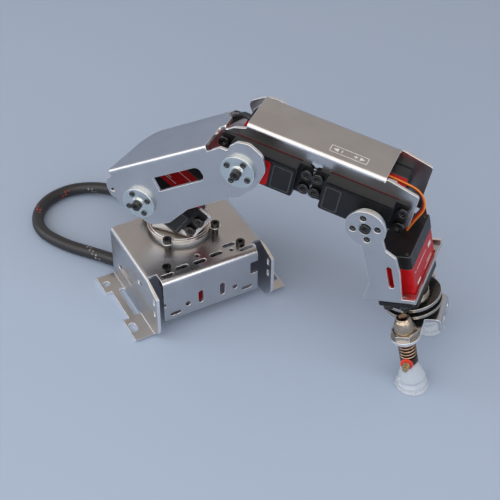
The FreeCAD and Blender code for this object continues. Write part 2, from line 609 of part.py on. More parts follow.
servo("tool_servo", TOOL_SERVO, MID_INSET)

# Tool: horn, upper disc, flanged spool and bar on the tool servo's shaft, a plunger at each end of the bar.
horn_face = h_web + 13.8
bar_top = horn_face + gauge + size("spool_length")
shaft("tool_servo_shaft", TOOL_SERVO)
horn("tool_horn", GRIP.multiply(at(0, 0, -h_web, V(1, 0, 0), 180)), (10.6, 12.0), (12.0, 13.8), None, 45)
bores = [circle(0, 0, 3.1)] + [circle(x, y, 1.5) for x, y in ring_points(4, size("horn_pcd") / 2, 45)]
flange = [circle(0, 0, size("flange_radius"))]
tool_disc = new_body("tool_disc", GRIP)
add(tool_disc, "XY_Plane", -horn_face - gauge / 2, flange + bores, "Sizes.gauge")
tool_spacer = new_body("tool_spacer", GRIP)
add(tool_spacer, "XY_Plane", -bar_top + size("spool_length") / 2, [circle(0, 0, size("horn_radius"))], "Sizes.spool_length")
add(tool_spacer, "XY_Plane", -bar_top + 4.4, flange, "Sizes.gauge")
cut(tool_spacer, "XY_Plane", -bar_top, bores, "3 * Sizes.spool_length")
bar = new_body("suction_bar", GRIP)
cup_y = size("cup_offset")
end = cup_y + 8.5
add(bar, "XY_Plane", -bar_top - gauge / 2, [box(-8.5, 8.5, -end, end, 8.4)], "Sizes.gauge")
add(bar, "XY_Plane", -bar_top - gauge / 2, [circle(0, 0, 11.8)], "Sizes.gauge")
add(bar, "XZ_Plane", 0, [strip([(7, -bar_top), (17.9, -bar_top), (17.9, -bar_top - 8.4)], gauge, (3,))], 23.6)
cut(bar, "YZ_Plane", 16.9, [slot(s * 5.6, -bar_top - 5.4, 6.4, 2.2) for s in (-1, 1)], 4)
post_holes = [circle(0, s * cup_y, size("sleeve_radius") + 0.05) for s in (-1, 1)]
cut(bar, "XY_Plane", -bar_top - 1, bores[1:] + post_holes, 4)
flip = at(0, 0, -bar_top - gauge, V(1, 0, 0), 180)
group("tool_screws", [(bar_screw, GRIP.multiply(at(x, y, 0)).multiply(flip)) for x, y in ring_points(4, size("horn_pcd") / 2, 45)])
bore, barrel = size("stem_radius") + 0.05, size("sleeve_radius")
sleeve = new_body("plunger_sleeve", at(0, 0, -bar_top))
nodes.pop("plunger_sleeve")
turned(sleeve, [(bore, -4.4), (barrel, -4.4), (barrel, 3.4), (5.7, 3.4), (5.7, 5.1), (4.6, 11), (3.9, 11), (3.9, 12.8), (bore, 12.8)])
posts = [GRIP.multiply(at(0, s * cup_y, 0)) for s in (-1, 1)]
nuts = []
for name, corner, low, thick in (("upper_nut", 7.8, 0, 3.4), ("lower_nut", 6.4, -gauge - 2, 2)):
    nut = new_body(name, at(0, 0, -bar_top))
    nodes.pop(name)
    add(nut, "XY_Plane", low + thick / 2, [outline(ring_points(6, corner)), circle(0, 0, barrel + 0.05)], thick)
    nuts.append(nut)
doc.recompute()
group("plunger_sleeves", [(sleeve.Shape, post) for post in posts])
group("lock_nuts", [(nut.Shape, post) for post in posts for nut in nuts])

# Plungers: stem with its head, hose barb, spring and bellows cup; the far one sits higher by what the turned bar takes off.
settle = 2 * cup_y * math.sin(math.radians(size("tool_turn"))) * math.tan(math.radians(size("hand_pitch")))
rim = size("rim_depth")
head = rim - 20.6
for side, post, sign, lift in (("near", posts[0], -1, 0), ("far", posts[1], 1, settle)):
    seat = post.multiply(at(0, 0, lift))
    stem = new_body(side + "_stem", seat)
    stack(stem, "XY_Plane", [(size("stem_radius"), -head, 19 - head), (5.2, -head - 4.5, -head), (2.15, -head - 7.3, -head - 4.5)])
    cut(stem, "XZ_Plane", sign * 4, [circle(0, -head - 2.2, 1.75)], 5)
    barb = new_body(side + "_barb", seat.multiply(at(0, 0, -head - 2.2, V(1, 0, 0), -90 * sign)))
    turned(barb, [(0, 2), (1.7, 2), (1.7, 5.5), (3.6, 5.5), (3.6, 6.7), (1.9, 6.7), (1.9, 7.1), (2.4, 7.1), (1.8, 8.7), (1.8, 9),
                  (2.3, 9), (1.6, 10.7), (1.6, 11.3), (0, 11.3)])
    spring = new_body(side + "_spring", post)
    top, foot = -bar_top - 4.45, lift - head + 0.05
    add(spring, "XY_Plane", (top + foot) / 2, [circle(0, 0, 5.3), circle(0, 0, 4.1)], top - foot)
    cup = new_body(side + "_cup", seat)
    turned(cup, [(2.2, 14.4 - rim), (5.1, 14.4 - rim), (5.1, 13.8 - rim), (8.2, 4.3 - rim), (8.2, 3.3 - rim), (size("cup_radius"), 0.5 - rim),
                 (size("cup_radius"), -rim), (9.6, -rim), (6.8, 3.4 - rim), (4.2, 11.4 - rim), (2.2, 11.4 - rim)])

# Cords: the loom loops behind the base up to the shoulder, a sleeved lead leaves the cover's rear, another the front.
cord("cable_loom", at(0, 0, 0),
     [(-24, -2, 12), (-30, 14, 8), (-43, 36, 5), (-60, 57, 4.6), (-69.5, 80, 4.6), (-59, 102.5, 4.6), (-36, 110, 4.8),
      (-14.5, 100, 6), (-4.5, 78.5, 11), (-5, 56, 20), (-8.5, 39, 34), (-9, 23.5, 49), (-10, 8, 57)], size("loom_radius"))
cord("elbow_lead", FORE, [(12, -7, 13.9), (0, -6, 13.9), (-11.4, 0, 13), (-16, 8, 4), (-23, 8.5, -5), (-31, 6, -11.5)], size("lead_radius"))
cord("wrist_lead", FORE, [(73.5, -4.5, 13.6), (84, -5, 13.8), (95, -5, 12.4), (100.2, -5, 3.2), (96.6, -5, -7.2), (94.5, -5, -16.6)],
     size("lead_radius") - 0.3)

doc.recompute()
for label, made in nodes.items():
    if not {"Invalid", "Error"}.isdisjoint(made.State):
        raise RuntimeError(label + " did not rebuild")
    if made.Shape.isNull() or not made.Shape.isValid() or not made.Shape.Solids:
        raise RuntimeError(label + " has no sound solid")
os.makedirs("parts", exist_ok=True)
for label, made in nodes.items():
    made.Shape.exportStep("parts/" + label + ".step")
print(len(nodes), "nodes written")
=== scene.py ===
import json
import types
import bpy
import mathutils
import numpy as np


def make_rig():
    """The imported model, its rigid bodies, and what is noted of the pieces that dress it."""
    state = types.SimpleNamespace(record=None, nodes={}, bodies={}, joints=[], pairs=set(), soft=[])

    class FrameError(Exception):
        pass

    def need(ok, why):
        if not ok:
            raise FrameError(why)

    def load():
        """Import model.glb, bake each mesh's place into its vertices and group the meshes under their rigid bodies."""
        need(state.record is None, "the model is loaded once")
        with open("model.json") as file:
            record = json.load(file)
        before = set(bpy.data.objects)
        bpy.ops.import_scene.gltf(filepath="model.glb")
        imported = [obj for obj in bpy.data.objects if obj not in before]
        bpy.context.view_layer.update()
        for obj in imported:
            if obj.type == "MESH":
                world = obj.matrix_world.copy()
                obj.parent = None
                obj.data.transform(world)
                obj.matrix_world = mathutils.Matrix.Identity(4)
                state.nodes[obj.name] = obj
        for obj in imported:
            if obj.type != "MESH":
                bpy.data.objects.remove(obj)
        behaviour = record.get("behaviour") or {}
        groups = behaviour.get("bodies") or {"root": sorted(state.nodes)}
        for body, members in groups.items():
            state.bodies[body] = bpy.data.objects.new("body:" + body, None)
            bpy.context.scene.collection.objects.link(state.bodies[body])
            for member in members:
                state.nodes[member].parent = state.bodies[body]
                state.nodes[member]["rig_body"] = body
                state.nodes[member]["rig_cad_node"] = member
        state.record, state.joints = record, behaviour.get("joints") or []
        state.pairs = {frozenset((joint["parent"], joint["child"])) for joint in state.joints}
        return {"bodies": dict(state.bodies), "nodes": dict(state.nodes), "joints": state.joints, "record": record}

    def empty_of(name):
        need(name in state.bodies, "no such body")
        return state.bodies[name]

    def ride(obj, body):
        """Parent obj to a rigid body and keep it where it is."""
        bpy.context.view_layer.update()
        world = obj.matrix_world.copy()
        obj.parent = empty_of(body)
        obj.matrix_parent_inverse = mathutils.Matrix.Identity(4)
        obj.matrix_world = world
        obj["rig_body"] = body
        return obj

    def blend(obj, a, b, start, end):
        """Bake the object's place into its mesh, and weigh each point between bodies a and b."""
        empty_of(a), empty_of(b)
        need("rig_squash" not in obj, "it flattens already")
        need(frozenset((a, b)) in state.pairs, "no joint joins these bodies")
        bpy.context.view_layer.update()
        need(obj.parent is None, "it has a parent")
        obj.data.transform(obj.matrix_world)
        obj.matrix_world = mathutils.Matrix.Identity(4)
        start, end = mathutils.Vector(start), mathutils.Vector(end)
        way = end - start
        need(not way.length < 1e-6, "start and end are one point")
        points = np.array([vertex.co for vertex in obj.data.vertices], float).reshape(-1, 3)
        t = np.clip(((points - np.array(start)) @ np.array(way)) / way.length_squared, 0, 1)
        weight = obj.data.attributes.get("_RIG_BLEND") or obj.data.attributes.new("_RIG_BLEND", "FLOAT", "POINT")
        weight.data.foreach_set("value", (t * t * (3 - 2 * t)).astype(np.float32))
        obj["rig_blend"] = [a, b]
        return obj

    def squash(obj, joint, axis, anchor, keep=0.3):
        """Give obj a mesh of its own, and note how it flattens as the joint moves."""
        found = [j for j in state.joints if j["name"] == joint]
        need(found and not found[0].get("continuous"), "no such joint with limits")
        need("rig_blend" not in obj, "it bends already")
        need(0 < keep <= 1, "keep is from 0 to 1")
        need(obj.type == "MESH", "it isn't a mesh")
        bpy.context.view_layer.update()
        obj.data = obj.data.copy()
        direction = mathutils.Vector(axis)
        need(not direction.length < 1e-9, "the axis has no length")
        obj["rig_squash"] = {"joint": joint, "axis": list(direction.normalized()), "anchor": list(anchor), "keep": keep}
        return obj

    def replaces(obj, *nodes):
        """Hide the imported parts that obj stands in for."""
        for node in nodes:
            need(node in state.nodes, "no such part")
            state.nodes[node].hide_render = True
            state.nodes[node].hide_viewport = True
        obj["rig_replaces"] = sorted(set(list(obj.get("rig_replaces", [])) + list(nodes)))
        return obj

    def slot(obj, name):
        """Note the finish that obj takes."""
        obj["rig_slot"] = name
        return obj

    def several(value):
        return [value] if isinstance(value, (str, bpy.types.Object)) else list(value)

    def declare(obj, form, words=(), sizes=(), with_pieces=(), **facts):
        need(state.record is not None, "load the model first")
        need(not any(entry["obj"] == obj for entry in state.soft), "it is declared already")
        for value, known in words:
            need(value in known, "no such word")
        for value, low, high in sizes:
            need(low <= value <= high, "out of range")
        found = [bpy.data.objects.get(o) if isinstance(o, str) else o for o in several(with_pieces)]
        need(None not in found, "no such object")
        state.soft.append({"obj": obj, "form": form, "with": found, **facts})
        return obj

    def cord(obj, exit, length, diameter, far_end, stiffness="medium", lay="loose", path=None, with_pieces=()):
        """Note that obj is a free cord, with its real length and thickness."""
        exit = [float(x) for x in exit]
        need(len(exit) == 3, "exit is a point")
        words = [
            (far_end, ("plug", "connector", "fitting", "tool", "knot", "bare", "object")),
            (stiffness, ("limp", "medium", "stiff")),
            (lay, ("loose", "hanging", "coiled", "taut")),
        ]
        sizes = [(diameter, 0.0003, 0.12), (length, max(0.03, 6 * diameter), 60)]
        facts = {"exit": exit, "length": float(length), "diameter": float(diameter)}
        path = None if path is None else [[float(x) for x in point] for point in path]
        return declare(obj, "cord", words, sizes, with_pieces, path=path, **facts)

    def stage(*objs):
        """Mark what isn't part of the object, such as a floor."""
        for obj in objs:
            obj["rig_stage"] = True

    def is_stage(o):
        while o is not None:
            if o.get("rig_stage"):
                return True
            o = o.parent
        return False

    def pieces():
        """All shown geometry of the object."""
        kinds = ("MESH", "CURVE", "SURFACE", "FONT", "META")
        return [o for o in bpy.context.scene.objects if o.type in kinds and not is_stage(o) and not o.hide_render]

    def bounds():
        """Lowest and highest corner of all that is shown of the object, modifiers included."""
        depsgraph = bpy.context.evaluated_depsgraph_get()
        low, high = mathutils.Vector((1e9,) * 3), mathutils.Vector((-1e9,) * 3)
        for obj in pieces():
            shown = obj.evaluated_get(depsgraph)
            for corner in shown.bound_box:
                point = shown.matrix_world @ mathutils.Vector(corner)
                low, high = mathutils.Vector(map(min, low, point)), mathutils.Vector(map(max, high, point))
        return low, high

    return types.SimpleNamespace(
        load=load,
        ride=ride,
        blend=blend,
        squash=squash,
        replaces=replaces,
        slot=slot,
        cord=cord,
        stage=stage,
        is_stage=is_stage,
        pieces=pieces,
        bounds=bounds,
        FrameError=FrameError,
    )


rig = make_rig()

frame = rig.load()

import json
import math

import bmesh
import bpy
from mathutils import Matrix, Vector
from mathutils.bvhtree import BVHTree

cad_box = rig.bounds()
scene = bpy.context.scene
MM = 0.001

# The arm in the pose of the photograph, as the CAD has it, in millimetres and degrees. SHOULDER is
# (forward, up), UPPER and FORE are (length, pitch), TOOL is the (x, y) of the tool's axis in the hand.
YAW = -50.7
SHOULDER = (-9.8, 80.0)
UPPER = (75.1, 33.6)
FORE = (76.0, -9.9)
HAND_PITCH = 13.0
HAND_WEB = 51.2
SERVO_SEAT = 15.2
BASE_SERVO_Z = 28.0
SHOULDER_SERVO_PITCH = -34.0
TOOL = (9.8, -8.6)
TOOL_TURN = 5.0

# The suction tool: levels down from the wrist's axis, the cups' distance from the tool's axis, and how much
# higher the far plunger sits because the bar is turned.
BAR_TOP = 75.6
RIM = 111.64
STEM_HEAD = RIM - 20.6
CUP_REACH = 25.2
SETTLE = 2 * CUP_REACH * math.sin(math.radians(TOOL_TURN)) * math.tan(math.radians(HAND_PITCH))


def step(point, length, pitch):
    """The end of a link that starts at point (forward, up) and rises at pitch degrees."""
    t = math.radians(pitch)
    return (point[0] + length * math.cos(t), point[1] + length * math.sin(t))


ELBOW = step(SHOULDER, *UPPER)
WRIST = step(ELBOW, *FORE)
ARM = Matrix.Rotation(math.radians(YAW), 4, "Z")


def pitched(point, pitch):
    """Frame at a point (forward, up) in the arm's plane, its X axis raised by pitch degrees."""
    origin = Matrix.Translation((point[0] * MM, 0, point[1] * MM))
    return ARM @ origin @ Matrix.Rotation(math.radians(pitch), 4, (0, -1, 0))


def shift(x, y, z):
    """Move by millimetres."""
    return Matrix.Translation((x * MM, y * MM, z * MM))


FORE_M = pitched(ELBOW, FORE[1])
HAND_M = pitched(WRIST, HAND_PITCH)
TOOL_M = HAND_M @ shift(TOOL[0], TOOL[1], 0)
GRIP_M = TOOL_M @ Matrix.Rotation(math.radians(TOOL_TURN), 4, "Z")
SEATED = shift(0, -SERVO_SEAT, 0) @ Matrix.Rotation(math.radians(90), 4, "X")
QUARTER_BACK = Matrix.Rotation(-math.pi / 2, 4, "Z")
HALF_TURN = Matrix.Rotation(math.pi, 4, "Z")
UPSIDE_DOWN = Matrix.Rotation(math.pi, 4, "X")

# Each servo's frame has its shaft along Z; the second value is the body it is fixed to.
SERVOS = {
    "base_servo": (shift(0, 0, BASE_SERVO_Z) @ QUARTER_BACK, "base"),
    "shoulder_servo": (pitched(SHOULDER, SHOULDER_SERVO_PITCH) @ SEATED, "turntable"),
    "elbow_servo": (FORE_M @ SEATED, "forearm"),
    "wrist_servo": (FORE_M @ shift(FORE[0], 0, 0) @ SEATED @ HALF_TURN, "forearm"),
    "tool_servo": (TOOL_M @ shift(0, 0, -HAND_WEB) @ QUARTER_BACK @ UPSIDE_DOWN, "hand"),
}


# Materials

def new_material(name):
    """A material with its nodes, links and shader at hand."""
    made = bpy.data.materials.new(name)
    made.use_nodes = True
    nodes = made.node_tree.nodes
    shader = nodes["Principled BSDF"]
    return made, nodes, made.node_tree.links, shader


def noise_node(nodes, links, scale, detail=3.0):
    """Noise in the object's own space."""
    coordinates = nodes.new("ShaderNodeTexCoord")
    made = nodes.new("ShaderNodeTexNoise")
    made.inputs["Scale"].default_value = scale
    made.inputs["Detail"].default_value = detail
    links.new(coordinates.outputs["Object"], made.inputs["Vector"])
    return made


def spread(nodes, links, source, low, high, start=0.3, end=0.7):
    """The middle of a noise stretched over the range from low to high."""
    made = nodes.new("ShaderNodeMapRange")
    made.inputs["From Min"].default_value = start
    made.inputs["From Max"].default_value = end
    made.inputs["To Min"].default_value = low
    made.inputs["To Max"].default_value = high
    links.new(source, made.inputs["Value"])
    return made.outputs["Result"]


def tint(nodes, links, factor, first, second):
    """A colour between two, chosen by factor."""
    made = nodes.new("ShaderNodeMix")
    made.data_type = "RGBA"
    made.inputs["A"].default_value = (*first, 1)
    made.inputs["B"].default_value = (*second, 1)
    links.new(factor, made.inputs["Factor"])
    return made.outputs["Result"]


def surface(name, first, second, rough, metallic, cloud, grain, bump, depth, sheen=0.5):
    """Clouded colour, uneven gloss and a fine grain, all from noise in the object's own space."""
    made, nodes, links, shader = new_material(name)
    shader.inputs["Metallic"].default_value = metallic
    shader.inputs["Specular IOR Level"].default_value = sheen
    clouds = noise_node(nodes, links, cloud, 4)
    share = spread(nodes, links, clouds.outputs["Fac"], 0, 1)
    links.new(tint(nodes, links, share, first, second), shader.inputs["Base Color"])
    gloss = spread(nodes, links, clouds.outputs["Fac"], rough[0], rough[1])
    links.new(gloss, shader.inputs["Roughness"])
    grains = noise_node(nodes, links, grain, 2)
    relief = nodes.new("ShaderNodeBump")
    relief.inputs["Strength"].default_value = bump
    relief.inputs["Distance"].default_value = depth * MM
    links.new(grains.outputs["Fac"], relief.inputs["Height"])
    links.new(relief.outputs["Normal"], shader.inputs["Normal"])
    return made


def metal(name, first, second, rough, cloud, grain, bump=0.15, depth=0.01):
    """A bare or plated metal."""
    return surface(name, first, second, rough, 1.0, cloud, grain, bump, depth)


def plastic(name, first, second, rough, cloud=200.0, grain=2600.0, bump=0.1, depth=0.01, sheen=0.5):
    """Plastic, paint, rubber or print."""
    return surface(name, first, second, rough, 0.0, cloud, grain, bump, depth, sheen)


# Sheet, turned parts and their broken edges
SHEET = metal("satin_aluminium", (0.52, 0.52, 0.53), (0.58, 0.58, 0.59), (0.27, 0.33), 60, 5200, 0.2, 0.02)
# Bright metal: on broken edges and cut walls partly real bright cut metal, partly a painted highlight along each edge.
BRIGHT_METAL_AND_HIGHLIGHT = metal("bright_metal_and_painted_highlight", (0.88, 0.87, 0.87), (0.94, 0.93, 0.92), (0.28, 0.38), 300, 4000, 0.1)
HORN = metal("turned_aluminium", (0.58, 0.64, 0.64), (0.66, 0.71, 0.71), (0.28, 0.34), 200, 6000, 0.2, 0.02)
GILT = metal("grey_bronze", (0.42, 0.38, 0.33), (0.52, 0.47, 0.41), (0.18, 0.26), 200, 5200)

# Servo cases
BLACK = plastic("servo_black_plastic", (0.007, 0.0075, 0.009), (0.013, 0.0135, 0.015), (0.3, 0.4),
                150, 3800, 0.3, 0.03, 0.3)
# Lighter black for the cases' broken edges and the face ribs: a painted highlight.
BLACK_EDGE_HIGHLIGHT = plastic("servo_black_painted_highlight", (0.035, 0.037, 0.04), (0.05, 0.052, 0.055), (0.25, 0.35),
                     300, 3800, 0.2, 0.02)
RED = surface("red_anodised", (0.46, 0.004, 0.007), (0.55, 0.008, 0.01), (0.32, 0.4),
              0.25, 110, 4600, 0.2, 0.02, 0.25)
# Brighter, more metallic red for the red middles' broken edges: a painted highlight.
RED_EDGE_HIGHLIGHT = surface("red_painted_highlight", (0.75, 0.05, 0.05), (0.85, 0.09, 0.08), (0.2, 0.3), 0.8, 300, 4000, 0.1, 0.01)
PRINT = plastic("grey_print", (0.62, 0.62, 0.62), (0.7, 0.7, 0.7), (0.5, 0.6), 400, 4000)

# Fasteners, shafts and the suction tool
OXIDE = surface("black_oxide", (0.045, 0.043, 0.042), (0.07, 0.067, 0.064), (0.2, 0.28),
                0.9, 250, 5000, 0.15, 0.01)
# Lighter oxide for the rims of screws, spacers and stems: a painted highlight.
OXIDE_EDGE_HIGHLIGHT = metal("black_oxide_painted_highlight", (0.15, 0.145, 0.14), (0.22, 0.215, 0.21), (0.18, 0.26), 400, 5000, 0.1)
STEEL = metal("ground_steel", (0.55, 0.55, 0.56), (0.64, 0.64, 0.65), (0.2, 0.3), 220, 5000)
NICKEL = metal("warm_nickel", (0.42, 0.33, 0.24), (0.54, 0.45, 0.35), (0.2, 0.3), 240, 4600, 0.12)
COPPER = metal("spring_wire", (0.34, 0.22, 0.15), (0.5, 0.36, 0.27), (0.18, 0.28), 240, 4600, 0.12)
BRASS = metal("dull_brass", (0.5, 0.36, 0.18), (0.62, 0.47, 0.25), (0.25, 0.35), 260, 4000)
BRONZE = metal("dark_bronze", (0.07, 0.042, 0.03), (0.13, 0.085, 0.06), (0.2, 0.3), 240, 4600, 0.12)
COLLAR = plastic("red_collar", (0.62, 0.035, 0.015), (0.74, 0.06, 0.025), (0.3, 0.4))
WHITE = plastic("white_plastic", (0.78, 0.78, 0.76), (0.84, 0.84, 0.82), (0.3, 0.4), 160, 3000)

# Leads
ORANGE = plastic("orange_lead", (0.75, 0.17, 0.012), (0.85, 0.24, 0.02), (0.35, 0.45))
LEAD_RED = plastic("red_lead", (0.5, 0.02, 0.012), (0.58, 0.035, 0.02), (0.35, 0.45))
LEAD_BROWN = plastic("brown_lead", (0.06, 0.025, 0.012), (0.09, 0.035, 0.018), (0.35, 0.45))
SLEEVE = plastic("black_sleeve", (0.012, 0.012, 0.013), (0.02, 0.02, 0.021), (0.4, 0.5), bump=0.3, depth=0.03)


def silicone():
    """Milky, half clear rubber for the cups."""
    made, nodes, links, shader = new_material("clear_silicone")
    clouds = noise_node(nodes, links, 180, 4)
    milk = tint(nodes, links, clouds.outputs["Fac"], (0.78, 0.86, 0.95), (0.92, 0.95, 0.98))
    links.new(milk, shader.inputs["Base Color"])
    shader.inputs["Transmission Weight"].default_value = 0.6
    shader.inputs["IOR"].default_value = 1.41
    links.new(spread(nodes, links, clouds.outputs["Fac"], 0.18, 0.28), shader.inputs["Roughness"])
    return made


def braid():
    """Black braided sleeve with a few red and pale strands, told apart by the tube's own strand values."""
    made, nodes, links, shader = new_material("black_braid")
    strand = nodes.new("ShaderNodeAttribute")
    strand.attribute_name = "strand"
    clouds = noise_node(nodes, links, 900, 3)
    plain = tint(nodes, links, clouds.outputs["Fac"], (0.008, 0.008, 0.009), (0.03, 0.03, 0.032))
    shade = nodes.new("ShaderNodeMix")
    shade.data_type = "RGBA"
    links.new(strand.outputs["Color"], shade.inputs["B"])
    links.new(plain, shade.inputs["A"])
    links.new(strand.outputs["Alpha"], shade.inputs["Factor"])
    links.new(shade.outputs["Result"], shader.inputs["Base Color"])
    links.new(spread(nodes, links, clouds.outputs["Fac"], 0.3, 0.5), shader.inputs["Roughness"])
    return made


SILICONE = silicone()
BRAID = braid()


# Building pieces

def place(name, mesh, materials, body, slot, replaced=(), matrix=None):
    """Puts a mesh into the scene, on its body and in its slot, instead of the nodes it replaces."""
    if matrix is not None:
        mesh.transform(matrix)
    made = bpy.data.objects.new(name, mesh)
    scene.collection.objects.link(made)
    for m in materials:
        mesh.materials.append(m)
    if body:
        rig.ride(made, body)
    if replaced:
        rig.replaces(made, *replaced)
    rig.slot(made, slot)
    return made


def weighted(made):
    """Flat faces keep flat shading right up to their softened edges."""
    for f in made.data.polygons:
        f.use_smooth = True
    fix = made.modifiers.new("normals", "WEIGHTED_NORMAL")
    fix.weight = 100
    fix.keep_sharp = True
    return made


# Welding distance in metres; in degrees, what counts as flat and what as a sharp edge.
WELD = 2e-6
FLAT_ANGLE = 1.0
SHARP_ANGLE = 32.0


def softened(bm, width, segments, edge_index, clamp):
    """Merges the tessellation's flat faces and breaks every sharp edge; the new faces take the edge material, a lighter
    colour that paints a highlight along the edge.

    Without the clamp, corners that the wider edges push out go back onto the shape as it was.
    """
    bmesh.ops.remove_doubles(bm, verts=bm.verts, dist=WELD)
    bmesh.ops.dissolve_limit(bm, angle_limit=math.radians(FLAT_ANGLE), verts=bm.verts, edges=bm.edges)
    limit = math.radians(SHARP_ANGLE)
    skin = BVHTree.FromBMesh(bm)
    sharp = [e for e in bm.edges if len(e.link_faces) == 2 and e.calc_face_angle(0) > limit]
    bmesh.ops.bevel(bm, geom=sharp, offset=width * MM, segments=segments, profile=0.6, affect="EDGES",
                    clamp_overlap=clamp, material=edge_index)
    for v in bm.verts:
        spot, _, _, away = skin.find_nearest(v.co)
        if away > width * MM:
            v.co = spot


def cut_walls(bm):
    """Gives the edge material to the narrow walls that a sheet's cut outlines leave: partly real bright cut metal,
    partly a painted highlight.
    """
    narrow = 1.6 * MM
    walls = []
    for f in bm.faces:
        lengths = [e.calc_length() for e in f.edges]
        if f.material_index == 1 or f.calc_area() > narrow * max(lengths):
            continue
        beside = sum(e.calc_length() for e in f.edges if any(g.material_index == 1 for g in e.link_faces))
        if max(lengths) < narrow or beside > 0.5 * sum(lengths):
            walls.append(f)
    for f in walls:
        f.material_index = 1


def socket_floors(bm):
    """Gives the third material to regular hexagons, which are the floors of sockets; a darker colour there is painted
    shade.
    """
    for f in bm.faces:
        if len(f.verts) == 6 and f.calc_perimeter() > 0.8 * 6 * max(e.calc_length() for e in f.edges):
            f.material_index = 2


def dress(node, materials, slot, width, segments=2, sheet=False, pick=None):
    """The node's own shape with its sharp edges broken by width millimetres.

    The second material, a lighter colour, goes to the edges as a painted highlight and to a sheet's cut walls, which
    are partly real bright metal; a third, darker one goes to the floors of hexagon sockets as painted shade.
    Where it is given, pick(point in millimetres) tells instead which faces have the second material.
    """
    source = frame["nodes"][node]
    bm = bmesh.new()
    bm.from_mesh(source.data)
    for f in bm.faces:
        f.material_index = 0
    softened(bm, width, segments, 1, not sheet)
    if len(materials) > 2:
        socket_floors(bm)
    if sheet:
        cut_walls(bm)
    if pick:
        for f in bm.faces:
            f.material_index = int(pick(f.calc_center_median() / MM))
    mesh = bpy.data.meshes.new(node + "_skin")
    bm.to_mesh(mesh)
    bm.free()
    return weighted(place(node + "_skin", mesh, materials, source["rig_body"], slot, (node,)))


def circle_turns(sides):
    """Equal steps around a circle, in radians."""
    return [2 * math.pi * i / sides for i in range(sides)]


def lathe(profile, sides=64, closed=True):
    """Mesh turned about Z from (radius, z) points in millimetres."""
    bm = bmesh.new()
    rings = []
    for r, z in profile:
        if r < 1e-6:
            rings.append([bm.verts.new((0, 0, z * MM))])
            continue
        spots = [(r * MM * math.cos(t), r * MM * math.sin(t), z * MM) for t in circle_turns(sides)]
        rings.append([bm.verts.new(spot) for spot in spots])
    pairs = list(zip(rings, rings[1:]))
    if closed:
        pairs.append((rings[-1], rings[0]))
    for a, b in pairs:
        for i in range(sides):
            j = (i + 1) % sides
            corners = [a[i % len(a)], a[j % len(a)], b[j % len(b)], b[i % len(b)]]
            unique = []
            for v in corners:
                if v not in unique:
                    unique.append(v)
            if len(unique) > 2:
                bm.faces.new(unique)
    bmesh.ops.recalc_face_normals(bm, faces=bm.faces)
    mesh = bpy.data.meshes.new("lathe")
    bm.to_mesh(mesh)
    bm.free()
    for f in mesh.polygons:
        f.use_smooth = True
    return mesh


def ring(x, y, radius, sides=48):
    """Circle of (x, y) points."""
    return [(x + radius * math.cos(t), y + radius * math.sin(t)) for t in circle_turns(sides)]


def bar(x, y, length, width, ends=0.2):
    """Rectangle of (x, y) points with its corners rounded, about x, y."""
    out = []
    for sx, sy, first in ((1, 1, 0), (-1, 1, 90), (-1, -1, 180), (1, -1, 270)):
        for k in range(7):
            t = math.radians(first + 15 * k)
            u = sx * (length / 2 - ends) + ends * math.cos(t)
            v = sy * (width / 2 - ends) + ends * math.sin(t)
            out.append((x + u, y + v))
    return out


def curve_mesh(data):
    """The mesh that a curve makes."""
    holder = bpy.data.objects.new("curve", data)
    scene.collection.objects.link(holder)
    bpy.context.view_layer.update()
    mesh = bpy.data.meshes.new_from_object(holder.evaluated_get(bpy.context.evaluated_depsgraph_get()))
    bpy.data.objects.remove(holder)
    return mesh


def flat(loops, low, high):
    """Sheet between two heights, filled between its loops of (x, y) millimetres."""
    data = bpy.data.curves.new("flat", "CURVE")
    data.dimensions = "2D"
    data.fill_mode = "BOTH"
    data.extrude = (high - low) / 2 * MM
    for loop in loops:
        line = data.splines.new("POLY")
        line.points.add(len(loop) - 1)
        for q, (x, y) in zip(line.points, loop):
            q.co = (x * MM, y * MM, 0, 1)
        line.use_cyclic_u = True
    mesh = curve_mesh(data)
    mesh.transform(shift(0, 0, (low + high) / 2))
    return mesh


def spline_points(route, resolution=14):
    """Points along the smooth line that the route's points control."""
    data = bpy.data.curves.new("route", "CURVE")
    data.dimensions = "3D"
    line = data.splines.new("NURBS")
    line.points.add(len(route) - 1)
    for p, co in zip(line.points, route):
        p.co = (*co, 1)
    line.order_u = 3
    line.use_endpoint_u = True
    line.resolution_u = resolution
    mesh = curve_mesh(data)
    points = [v.co.copy() for v in mesh.vertices]
    bpy.data.meshes.remove(mesh)
    return points


def length_of(points):
    """Length of a line of points."""
    return sum((b - a).length for a, b in zip(points, points[1:]))


def even(points, spacing):
    """The same line as equally spaced points."""
    total = length_of(points)
    count = max(2, round(total / spacing))
    out, run, k = [points[0].copy()], 0.0, 0
    for i in range(1, count):
        want = total * i / count
        while run + (points[k + 1] - points[k]).length < want:
            run += (points[k + 1] - points[k]).length
            k += 1
        out.append(points[k].lerp(points[k + 1], (want - run) / (points[k + 1] - points[k]).length))
    return out + [points[-1].copy()]


def frames_along(points):
    """Point, two cross directions and distance for each point, carried along without twist."""
    last = len(points) - 1
    tangents = [(points[min(i + 1, last)] - points[max(i - 1, 0)]).normalized() for i in range(len(points))]
    side = tangents[0].orthogonal().normalized()
    out, run = [], 0.0
    for i, (p, t) in enumerate(zip(points, tangents)):
        side = (side - t * side.dot(t)).normalized()
        if i:
            run += (p - points[i - 1]).length
        out.append((p, side.copy(), t.cross(side), run))
    return out


